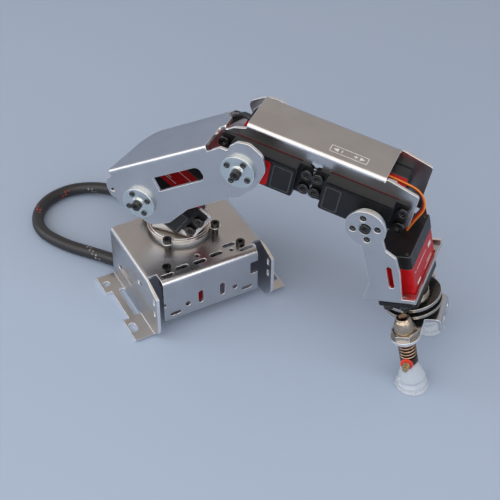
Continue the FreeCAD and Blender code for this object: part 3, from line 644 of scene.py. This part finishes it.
def tube(points, radius, sides, shape=None, strand=None, offset=(0, 0)):
    """Closed tube along points; shape(run, angle) scales its radius, strand(run, angle) gives a colour."""
    bm = bmesh.new()
    colour = bm.verts.layers.float_color.new("strand") if strand else None
    rings = []
    for p, a, b, run in frames_along(points):
        centre = p + a * offset[0] + b * offset[1]
        loop = []
        for t in circle_turns(sides):
            r = radius * (shape(run, t) if shape else 1)
            v = bm.verts.new(centre + (a * math.cos(t) + b * math.sin(t)) * r)
            if strand:
                v[colour] = strand(run, t)
            loop.append(v)
        rings.append(loop)
    for a, b in zip(rings, rings[1:]):
        for i in range(sides):
            j = (i + 1) % sides
            bm.faces.new((a[i], a[j], b[j], b[i]))
    bm.faces.new(rings[0][::-1])
    bm.faces.new(rings[-1])
    bmesh.ops.recalc_face_normals(bm, faces=bm.faces)
    mesh = bpy.data.meshes.new("tube")
    bm.to_mesh(mesh)
    bm.free()
    for f in mesh.polygons:
        f.use_smooth = len(f.vertices) == 4
    return mesh


def joined(meshes):
    """One mesh from several, each keeping its own material number."""
    bm = bmesh.new()
    for index, mesh in enumerate(meshes):
        first = len(bm.faces)
        bm.from_mesh(mesh)
        bm.faces.ensure_lookup_table()
        for f in bm.faces[first:]:
            f.material_index = index
        bpy.data.meshes.remove(mesh)
    out = bpy.data.meshes.new("joined")
    bm.to_mesh(out)
    bm.free()
    return out


# Camera, solved from the photograph: position in metres, view direction, roll in radians and lens in
# millimetres.
CAMERA_AT = (-0.2183, -0.4900, 0.4956)
CAMERA_ALONG = (487.6, 890.6, -902.7)
CAMERA_ROLL = 0.011
CAMERA_LENS = 80.87


def aim_camera():
    """The photograph's camera."""
    data = bpy.data.cameras.new("camera")
    data.sensor_fit = "HORIZONTAL"
    data.sensor_width = 36
    data.lens = CAMERA_LENS
    data.clip_start = 0.01
    holder = bpy.data.objects.new("camera", data)
    scene.collection.objects.link(holder)
    forward = Vector(CAMERA_ALONG).normalized()
    level = forward.cross(Vector((0, 0, 1))).normalized()
    upright = level.cross(forward)
    right = level * math.cos(CAMERA_ROLL) + upright * math.sin(CAMERA_ROLL)
    up = upright * math.cos(CAMERA_ROLL) - level * math.sin(CAMERA_ROLL)
    turn = Matrix((right, up, -forward)).transposed().to_4x4()
    holder.matrix_world = Matrix.Translation(CAMERA_AT) @ turn
    scene.camera = holder


aim_camera()

# Cords, by the CAD's route points in millimetres: the loom in the part's frame, the leads in the forearm's.
LOOM = [(-24, -2, 12), (-30, 14, 8), (-43, 36, 5), (-60, 57, 4.6), (-69.5, 80, 4.6), (-59, 102.5, 4.6),
        (-36, 110, 4.8), (-14.5, 100, 6), (-4.5, 78.5, 11), (-5, 56, 20), (-8.5, 39, 34), (-9, 23.5, 49),
        (-10, 8, 57)]
LOOM_R = 4.1
ELBOW_LEAD = [(12, -7, 13.9), (0, -6, 13.9), (-11.4, 0, 13), (-16, 8, 4), (-23, 8.5, -5), (-31, 6, -11.5)]
WRIST_LEAD = [(73.5, -4.5, 13.6), (84, -5, 13.8), (95, -5, 12.4), (100.2, -5, 3.2), (96.6, -5, -7.2),
              (94.5, -5, -16.6)]
LEAD_R = 1.8

# The sleeved lead's ripple, as a share of its radius and in radians per millimetre, and the ribbon's wires.
SLEEVE_RIPPLE = 0.03
RIPPLE_RATE = 5
RIBBON_WIRE_R = 0.55
RIBBON_STEP = 1.02

# The loom's braid: its strands, the length of three lays in millimetres, the bare end and its fade in metres,
# the weave's depth and the bare end's rise as shares of the radius, the height at which a strand lies on top,
# how many turns lie between two coloured strands, and how strong their colours are.
STRANDS = 12
THREE_LAYS = 17.0
BARE_END = 0.026
BARE_FADE = 0.004
WEAVE_DEPTH = 0.05
BARE_RISE = 0.03
CREST = 0.4
COLOUR_EVERY = 24
PALE_TURN = 3
RED_STRAND = (0.55, 0.05, 0.02)
RED_SHARE = 0.85
PALE_STRAND = (0.5, 0.5, 0.52)
PALE_SHARE = 0.5
DARK_STRAND = (0.02, 0.02, 0.02)


def in_metres(route, matrix=Matrix.Identity(4)):
    """Route points in a frame, as scene points."""
    return [matrix @ (Vector(p) * MM) for p in route]


def loom():
    """Braided loom from the base to the turning shoulder, its last stretch bare."""
    line = spline_points(in_metres(LOOM))
    total = length_of(line)
    points = even(line, 0.45 * MM)
    pitch = 2 * math.pi / (THREE_LAYS * MM)

    def lay(run, angle):
        return pitch * run * 3 + STRANDS * angle / 2

    def counter_lay(run, angle):
        return pitch * run * 3 - STRANDS * angle / 2

    def weave(run, angle):
        return math.sin(lay(run, angle)) * math.sin(counter_lay(run, angle))

    def braided(run):
        return min(1.0, max(0.0, (total - run - BARE_END) / BARE_FADE))

    def shape(run, angle):
        k = braided(run)
        return 1 - WEAVE_DEPTH + WEAVE_DEPTH * abs(weave(run, angle)) * k + BARE_RISE * (1 - k)

    def strand(run, angle):
        k = braided(run)
        height = weave(run, angle)
        turn = math.floor(lay(run, angle) / (2 * math.pi))
        counter_turn = math.floor(counter_lay(run, angle) / (2 * math.pi))
        if turn % COLOUR_EVERY == 0 and height > CREST:
            return (*RED_STRAND, RED_SHARE * k)
        if counter_turn % COLOUR_EVERY == PALE_TURN and height < -CREST:
            return (*PALE_STRAND, PALE_SHARE * k)
        return (*DARK_STRAND, 0.0)

    mesh = tube(points, LOOM_R * MM, 48, shape, strand)
    made = place("cable_loom_braid", mesh, [BRAID], None, "braid", ("cable_loom",))
    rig.blend(made, "base", "turntable", start=(0, 0, 0.012), end=(0, 0, 0.055))
    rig.cord(made, exit=points[0], length=total, diameter=2 * LOOM_R * MM, far_end="object", stiffness="limp",
            lay="loose", path=even(line, 2 * MM))


def elbow_lead():
    """Sleeved lead from the forearm's cover down behind the elbow."""
    line = spline_points(in_metres(ELBOW_LEAD, FORE_M))
    total = length_of(line)

    def ripple(run, _):
        return 1 - SLEEVE_RIPPLE + SLEEVE_RIPPLE * math.sin(run / MM * RIPPLE_RATE)

    mesh = tube(even(line, 0.6 * MM), LEAD_R * MM, 28, ripple)
    made = place("elbow_lead_sleeve", mesh, [SLEEVE], None, "lead_black", ("elbow_lead",))
    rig.blend(made, "forearm", "upper_arm", start=FORE_M @ Vector((-0.006, 0, 0.012)),
             end=FORE_M @ Vector((-0.02, 0, -0.002)))
    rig.cord(made, exit=line[0], length=total, diameter=2 * LEAD_R * MM, far_end="object", stiffness="limp",
            lay="loose", path=even(line, 1.5 * MM))


def wrist_lead():
    """Three-wire ribbon from the forearm to the tool servo."""
    line = spline_points(in_metres(WRIST_LEAD, FORE_M))
    total = length_of(line)
    points = even(line, 0.6 * MM)
    wires = [tube(points, RIBBON_WIRE_R * MM, 14, offset=(0, k * RIBBON_STEP * MM)) for k in (-1, 0, 1)]
    colours = [ORANGE, LEAD_RED, LEAD_BROWN]
    made = place("wrist_lead_wires", joined(wires), colours, None, "lead_orange", ("wrist_lead",))
    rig.blend(made, "forearm", "hand", start=FORE_M @ Vector((0.098, 0, 0.006)),
             end=FORE_M @ Vector((0.0945, 0, -0.016)))
    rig.cord(made, exit=line[0], length=total, diameter=3.0 * MM, far_end="object", stiffness="limp",
            lay="loose", path=even(line, 1.5 * MM))


loom()
elbow_lead()
wrist_lead()

# Sheet metal, horns, fasteners and servos keep the CAD's shapes, with broken edges in lighter colours as painted
# highlights and finished materials.
SHEETS = ("base_housing", "servo_cradle", "shoulder_bracket", "upper_link", "forearm_cover", "hand_bracket",
          "suction_bar")
HORNS = ("base_horn", "shoulder_horn", "elbow_horn", "wrist_horn", "tool_horn")
DISCS = ("tool_disc", "turntable_disc")
BLACK_STEEL = ("base_screws", "turntable_screws", "upper_arm_screws", "forearm_screws", "hand_screws",
               "tool_screws", "cradle_spacers")
SIDES = (("near", -1), ("far", 1))

# Where a second finish takes over, in millimetres: the guides' bright heads, the red front of the base
# servo's bottom case, the tool spacer's rim and the barbs' collars.
GUIDE_HEAD_Z = 45.4
CASE_FRONT_Y = -28
SPACER_RIM = 10.6
COLLAR_RUN = (5.3, 6.9)


def across(matrix, point):
    """Distance in millimetres of a point from a frame's Z axis."""
    return (matrix.inverted() @ (point * MM)).to_2d().length / MM


def barb_run(sign, point):
    """How far out along its plunger's barb a point lies, in millimetres."""
    return sign * (GRIP_M.inverted() @ (point * MM)).y / MM - CUP_REACH


def dress_brackets():
    """Bent sheet, horns and discs."""
    for node in SHEETS:
        dress(node, [SHEET, BRIGHT_METAL_AND_HIGHLIGHT], "sheet_metal", width=0.22, sheet=True)
    for node in HORNS:
        dress(node, [HORN, BRIGHT_METAL_AND_HIGHLIGHT], "horn_metal", width=0.3)
    for node in DISCS:
        dress(node, [GILT, BRIGHT_METAL_AND_HIGHLIGHT], "horn_metal", width=0.3)


def dress_fasteners():
    """Black socket screws and spacers, their edges lightened as painted highlights and their socket floors painted
    black as shade, and the guides with their bright heads.
    """
    for node in BLACK_STEEL:
        # The black plastic on the socket floors is painted shade in the recess.
        dress(node, [OXIDE, OXIDE_EDGE_HIGHLIGHT, BLACK], "black_steel", width=0.18)
    dress("turntable_guides", [OXIDE, BRIGHT_METAL_AND_HIGHLIGHT], "black_steel", width=0.12, pick=lambda c: c.z > GUIDE_HEAD_Z)


def dress_servos():
    """Black ends and red middles; behind the base's slots the red comes down over the bottom case's front."""
    for name in SERVOS:
        dress(name + "_top", [BLACK, BLACK_EDGE_HIGHLIGHT], "servo_black", width=0.35, segments=3)
        if name != "base_servo":
            dress(name + "_bottom", [BLACK, BLACK_EDGE_HIGHLIGHT], "servo_black", width=0.5, segments=3)
        dress(name + "_middle", [RED, RED_EDGE_HIGHLIGHT], "servo_red", width=0.2)
        dress(name + "_shaft", [STEEL, BRIGHT_METAL_AND_HIGHLIGHT], "bright_steel", width=0.2)
    dress("base_servo_bottom", [BLACK, RED], "servo_black", width=0.5, segments=3,
          pick=lambda c: c.y < CASE_FRONT_Y)


def dress_bearings():
    """The tool's spacer, the thrust ring, bushings and idler studs."""
    dress("tool_spacer", [BLACK, GILT], "servo_black", width=0.3,
          pick=lambda c: across(GRIP_M, c) > SPACER_RIM)
    dress("thrust_ring", [WHITE, WHITE], "white_plastic", width=0.15)
    dress("link_bushings", [BRASS, NICKEL], "nickel_brass", width=0.15)
    dress("shoulder_stud", [STEEL, BRIGHT_METAL_AND_HIGHLIGHT], "bright_steel", width=0.25)
    dress("forearm_studs", [STEEL, BRIGHT_METAL_AND_HIGHLIGHT], "bright_steel", width=0.25)


def dress_plungers():
    """Stems, barbs with their red collars, and lock nuts."""
    low, high = COLLAR_RUN
    for side, sign in SIDES:
        dress(side + "_stem", [BRONZE, OXIDE_EDGE_HIGHLIGHT], "nickel_brass", width=0.2)
        dress(side + "_barb", [BRASS, COLLAR], "nickel_brass", width=0.1,
              pick=lambda c: low < barb_run(sign, c) < high)
    dress("lock_nuts", [GILT, BRIGHT_METAL_AND_HIGHLIGHT], "nickel_brass", width=0.3)


dress_brackets()
dress_fasteners()
dress_servos()
dress_bearings()
dress_plungers()

# Servo details in the servo's own frame: face plate, rib, case screws and printed stripes.
CASE_HALF = 20
CASE_SIDE = 9.8
CASE_BOTTOM = -27.8
CASE_CENTRE = 10
TOOL_CASE_CENTRE = 0
FACE_Z = 9.6
PLATE_TOP = 9.95
RIB_TOP = 9.9
PLATE_INSET = 1.6
PLATE_MARGIN = 2.2
PLATE_WIDTH = 16.8
PLATE_CORNER = 2.0
RED_PLATE_END = 15.2
BLACK_PLATE_END = 17.5
SHAFT_HOLE = 7.1
SCREW_INSET = 2.6
SCREW_Y = 7.4
PRINT_HEIGHT = 0.03
RED_FACED = ("elbow_servo", "shoulder_servo")
SCREW_R = 1.25
SCREW_PROFILE = [(0, 0.1), (0.45, 0.1), (0.55, 0.5), (0.9, 0.48), (1.15, 0.3), (SCREW_R, 0.05),
                 (SCREW_R, -0.3), (0, -0.3)]

# The rib's outer and inner lines: how much shorter than the room they are, width and corner radius.
RIB_LINES = ((3.4, 15.6, 1.2), (4.6, 14.4, 0.8))

# Stripes on the red middle: place along from the case's centre, height, length and width.
STRIPES = [(-7, -4.2, 14, 0.5), (-9, -5.8, 9, 0.5), (11, -4.6, 6, 1.6), (3, -13.4, 18, 0.45),
           (-12.5, -12.6, 5, 2.6), (14.5, -13.4, 2.2, 0.45)]


def case_screw(x, y):
    """Small domed screw with a round recess, in the case's bottom."""
    mesh = lathe(SCREW_PROFILE, 24, False)
    mesh.transform(shift(x, y, CASE_BOTTOM) @ UPSIDE_DOWN)
    return mesh


def face_plate(name, matrix, body, first, plate_end):
    """Plate around the shaft, red where the photograph shows it."""
    red = name in RED_FACED
    outline = bar((first + PLATE_INSET + plate_end) / 2, 0, plate_end - first - PLATE_INSET, PLATE_WIDTH,
                  PLATE_CORNER)
    mesh = flat([outline, ring(0, 0, SHAFT_HOLE)], FACE_Z, PLATE_TOP)
    slot = "servo_red" if red else "servo_black"
    place(name + "_face_plate", mesh, [RED if red else BLACK], body, slot, (), matrix)


def face_rib(name, matrix, body, plate_end, last):
    """Low rib framing the rest of the face, in the lighter black that paints a highlight along the raised edge."""
    middle = (plate_end + last) / 2
    room = last - plate_end
    lines = [bar(middle, 0, room - less, width, corner) for less, width, corner in RIB_LINES]
    mesh = flat(lines, FACE_Z, RIB_TOP)
    place(name + "_face_rib", mesh, [BLACK_EDGE_HIGHLIGHT], body, "servo_black", (), matrix)


def case_screws(name, matrix, body, first, last):
    """Four screws in the case's bottom."""
    ends = (first + SCREW_INSET, last - SCREW_INSET)
    heads = [case_screw(x, y) for x in ends for y in (-SCREW_Y, SCREW_Y)]
    place(name + "_case_screws", joined(heads), [OXIDE] * 4, body, "black_steel", (), matrix)


def stripes(name, matrix, body, middle):
    """Plain printed stripes on both long sides of the red middle."""
    for side, sign in SIDES:
        marks = [bar(middle + x, height, length, width) for x, height, length, width in STRIPES]
        face = shift(0, sign * CASE_SIDE, 0) @ Matrix.Rotation(math.pi / 2, 4, "X")
        mesh = flat(marks, -PRINT_HEIGHT, PRINT_HEIGHT)
        place(f"{name}_print_{side}", mesh, [PRINT], body, "white_plastic", (), matrix @ face)


def servo_details(name, matrix, body, middle):
    """Everything on one servo's case; middle is the case's centre along X from the shaft."""
    first, last = middle - CASE_HALF, middle + CASE_HALF
    plate_end = RED_PLATE_END if name in RED_FACED else min(last - PLATE_MARGIN, BLACK_PLATE_END)
    face_plate(name, matrix, body, first, plate_end)
    face_rib(name, matrix, body, plate_end, last)
    if name != "base_servo":
        case_screws(name, matrix, body, first, last)
    stripes(name, matrix, body, middle)


for name, (matrix, body) in SERVOS.items():
    servo_details(name, matrix, body, TOOL_CASE_CENTRE if name == "tool_servo" else CASE_CENTRE)

# The cover's printed mark, in the forearm's frame; its signs and arrows are placed from its middle.
COVER_TOP = 19.5
MARK_AT = (52.2, -7.4)
MARK_LENGTH = 22
MARK_WIDTH = 5.8
MARK_LINE = 0.4
ARROW_TIP = 9.3
ARROW_FOOT = 6.3
ARROW_HALF = 1.5
SIGN_LINE = 0.6
MINUS_AT = -4.2
MINUS_LENGTH = 2.2
PLUS_AT = 3.9
PLUS_LENGTH = 2.6
CROSSING_HEIGHT = 0.035


def cover_mark():
    """Outlined box with a minus and a plus between two arrow heads.

    The plus's second stroke stands a little higher, so that no two faces lie in one plane.
    """
    u, v = MARK_AT
    outside = bar(u, v, MARK_LENGTH, MARK_WIDTH, 0.5)
    inside = bar(u, v, MARK_LENGTH - 2 * MARK_LINE, MARK_WIDTH - 2 * MARK_LINE, 0.3)
    arrows = []
    for s in (-1, 1):
        foot = u + s * ARROW_FOOT
        arrows.append([(u + s * ARROW_TIP, v), (foot, v + ARROW_HALF), (foot, v - ARROW_HALF)])
    minus = bar(u + MINUS_AT, v, SIGN_LINE, MINUS_LENGTH)
    stroke = bar(u + PLUS_AT, v, PLUS_LENGTH, SIGN_LINE)
    crossing = bar(u + PLUS_AT, v, SIGN_LINE, PLUS_LENGTH)
    mark = flat([outside, inside, *arrows, minus, stroke], COVER_TOP, COVER_TOP + PRINT_HEIGHT)
    second = flat([crossing], COVER_TOP, COVER_TOP + CROSSING_HEIGHT)
    place("cover_mark", joined([mark, second]), [PRINT, PRINT], "forearm", "white_plastic", (), FORE_M)


cover_mark()

# Plungers: turned sleeves, wound springs and bellows cups whose lips lie flat on the floor.
SLEEVE_BORE = 3.05
BARREL_R = 4.6
BARREL_END = -4.4
THREAD_PITCH = 0.8
THREAD_DEPTH = 0.3
THREAD_TOP = 3.2
THREAD_BOTTOM = -3.6
SPRING_R = 4.72
WIRE_R = 0.55
SPRING_TURNS = 5.4
SPRING_GAP = 0.05
SPRING_INSET = 0.3
CLOSED_TURNS = 0.7
CLOSED_SHARE = 0.05
STROKE = 6
BORE_WALL = 3.3
LIP_HEIGHT = 5.5
LIP_GAP = 0.12
LIP_SQUASH = 0.9

# Half sections as (radius, height) points: the sleeve's head from the bar's top, the cup from its rim.
SLEEVE_HEAD = [(SLEEVE_BORE, 12.8), (3.6, 12.8), (3.9, 12.5), (3.9, 11.1), (4.4, 11.0), (4.7, 10.6),
               (5.65, 5.4), (5.7, 5.0), (5.7, 3.6), (5.5, 3.4)]
CUP_OUTSIDE = [(2.25, 14.4), (4.8, 14.4), (5.1, 14.1), (5.15, 13.6), (6.2, 10.4), (7.6, 6.0), (8.2, 4.9),
               (8.3, 4.5), (8.1, 4.1), (7.5, 3.8), (7.45, 3.5), (8.7, 2.7), (9.3, 2.2), (9.35, 1.9),
               (9.15, 1.6), (10.3, 0.75), (10.5, 0.5), (10.5, 0.15)]
CUP_INSIDE = [(10.3, 0), (9.7, 0), (9.2, 0.5), (8.2, 1.6), (6.9, 2.9), (6.7, 3.9), (6.4, 5.0), (4.4, 11.2),
              (2.25, 11.4)]


def sleeve_profile():
    """Half section of a plunger's sleeve: rim, cone, shoulder and a threaded barrel."""
    out = list(SLEEVE_HEAD)
    root = BARREL_R - THREAD_DEPTH
    z = THREAD_TOP
    while z > THREAD_BOTTOM:
        out += [(BARREL_R, z), (BARREL_R, z - THREAD_PITCH * 0.25)]
        out += [(root, z - THREAD_PITCH * 0.55), (root, z - THREAD_PITCH * 0.8)]
        z -= THREAD_PITCH
    return out + [(BARREL_R - 0.4, BARREL_END), (SLEEVE_BORE, BARREL_END)]


def helix(radius, low, high, turns, count):
    """Wire line wound about Z, its first and last turns closed up."""
    line = []
    for i in range(count + 1):
        k = i / count
        rise = min(1.0, max(0.0, (k * turns - CLOSED_TURNS) / (turns - 2 * CLOSED_TURNS)))
        turn = 2 * math.pi * turns * k
        z = low + (high - low) * (CLOSED_SHARE + (1 - 2 * CLOSED_SHARE) * rise)
        line.append(Vector((radius * math.cos(turn), radius * math.sin(turn), z)) * MM)
    return line


def spring(side, post, low, high):
    """Spring between the stem's head and the sleeve, which closes up as its cup is pressed in."""
    line = helix(SPRING_R, low + SPRING_INSET, high - SPRING_INSET, SPRING_TURNS, 300)
    coil = tube(line, WIRE_R * MM, 12)
    body = side + "_plunger"
    made = place(side + "_spring_coil", coil, [COPPER], body, "bright_steel", (side + "_spring",), post)
    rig.squash(made, side + "_cup_press", axis=post.to_3x3() @ Vector((0, 0, 1)),
              anchor=post @ Vector((0, 0, low * MM)), keep=(high - low - STROKE) / (high - low))


def cup_mesh(post):
    """Bellows cup standing on the floor: the nearer to the rim, the more the soft lip follows the floor."""
    mesh = lathe([(r, h - RIM) for r, h in CUP_OUTSIDE + CUP_INSIDE], 96)
    heights = [v.co.z / MM + RIM for v in mesh.vertices]
    mesh.transform(post)
    for v, h in zip(mesh.vertices, heights):
        k = min(1.0, max(0.0, 1 - h / LIP_HEIGHT))
        k = k * k * (3 - 2 * k)
        v.co.z += k * ((LIP_GAP + LIP_SQUASH * h) * MM - v.co.z)
    return mesh


def plungers():
    """Springs and cups on the plungers, and the two sleeves on the tool, whose bores are painted dark as shade."""
    posts = [GRIP_M @ shift(0, sign * CUP_REACH, 0) for _, sign in SIDES]
    sleeves = []
    for (side, _), post, lift in zip(SIDES, posts, (0.0, SETTLE)):
        sleeve = lathe(sleeve_profile(), 64)
        sleeve.transform(post @ shift(0, 0, -BAR_TOP))
        sleeves.append(sleeve)
        spring(side, post, lift - STEM_HEAD + SPRING_GAP, BARREL_END - BAR_TOP - SPRING_GAP)
        cup = cup_mesh(post @ shift(0, 0, lift))
        place(side + "_cup_bellows", cup, [SILICONE], side + "_plunger", "silicone", (side + "_cup",))
    finish = [NICKEL, BRONZE]
    both = joined(sleeves)
    made = place("plunger_sleeves_turned", both, finish, "tool", "nickel_brass", ("plunger_sleeves",))
    # Faces of the bore take the dark bronze: painted shade inside the sleeve.
    for f in made.data.polygons:
        f.material_index = int(min(across(post, f.center / MM) for post in posts) < BORE_WALL)


plungers()

# Stage: pale floor, a sky from cool at the horizon to warm overhead, and soft studio lamps.
FLOOR_HALF = 6
FLOOR_COLOURS = ((0.345, 0.425, 0.555), (0.355, 0.435, 0.565))
HORIZON = (0.05, (0.4, 0.49, 0.66, 1))
ZENITH = (0.62, (0.48, 0.42, 0.37, 1))

# Name, place and target in metres, width in metres, power in watts, colour.
LAMPS = (
    ("key", (-0.71, -0.61, 0.97), (0.03, -0.05, 0.06), 1.8, 15.0, (1, 0.98, 0.96)),
    ("side", (-0.85, 0.42, 0.5), (0.02, -0.03, 0.1), 0.7, 2.8, (1, 1, 1)),
    ("fill", (0.5, -1.2, 0.8), (0.05, -0.05, 0.06), 0.9, 5.0, (0.95, 0.97, 1)),
)


def pale_floor():
    """Plain floor at height zero."""
    bm = bmesh.new()
    bmesh.ops.create_grid(bm, x_segments=1, y_segments=1, size=FLOOR_HALF)
    mesh = bpy.data.meshes.new("floor")
    bm.to_mesh(mesh)
    bm.free()
    floor = bpy.data.objects.new("floor", mesh)
    scene.collection.objects.link(floor)
    mesh.materials.append(surface("pale_floor", *FLOOR_COLOURS, (0.8, 0.9), 0.0, 3, 300, 0.05, 0.05))
    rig.stage(floor)


def sky():
    """World light that changes with height."""
    world = bpy.data.worlds.new("studio")
    scene.world = world
    world.use_nodes = True
    nodes, links = world.node_tree.nodes, world.node_tree.links
    back = nodes["Background"]
    back.inputs["Strength"].default_value = 1.0
    direction = nodes.new("ShaderNodeTexCoord")
    split = nodes.new("ShaderNodeSeparateXYZ")
    links.new(direction.outputs["Generated"], split.inputs["Vector"])
    ramp = nodes.new("ShaderNodeValToRGB")
    for element, (position, colour) in zip(ramp.color_ramp.elements, (HORIZON, ZENITH)):
        element.position = position
        element.color = colour
    links.new(split.outputs["Z"], ramp.inputs["Fac"])
    links.new(ramp.outputs["Color"], back.inputs["Color"])


def lamps():
    """Square soft lamps, each aimed at its target."""
    for name, spot, target, wide, power, colour in LAMPS:
        data = bpy.data.lights.new(name, "AREA")
        data.shape = "SQUARE"
        data.size = wide
        data.energy = power
        data.color = colour
        lamp = bpy.data.objects.new(name, data)
        scene.collection.objects.link(lamp)
        lamp.location = spot
        lamp.rotation_euler = (Vector(target) - Vector(spot)).to_track_quat("-Z", "Y").to_euler()


pale_floor()
sky()
lamps()
scene.view_settings.view_transform = "Standard"

plain = [[list(corner) for corner in box] for box in (cad_box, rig.bounds())]
with open("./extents.json", "w") as out:
    json.dump({"cad": plain[0], "visual": plain[1]}, out)
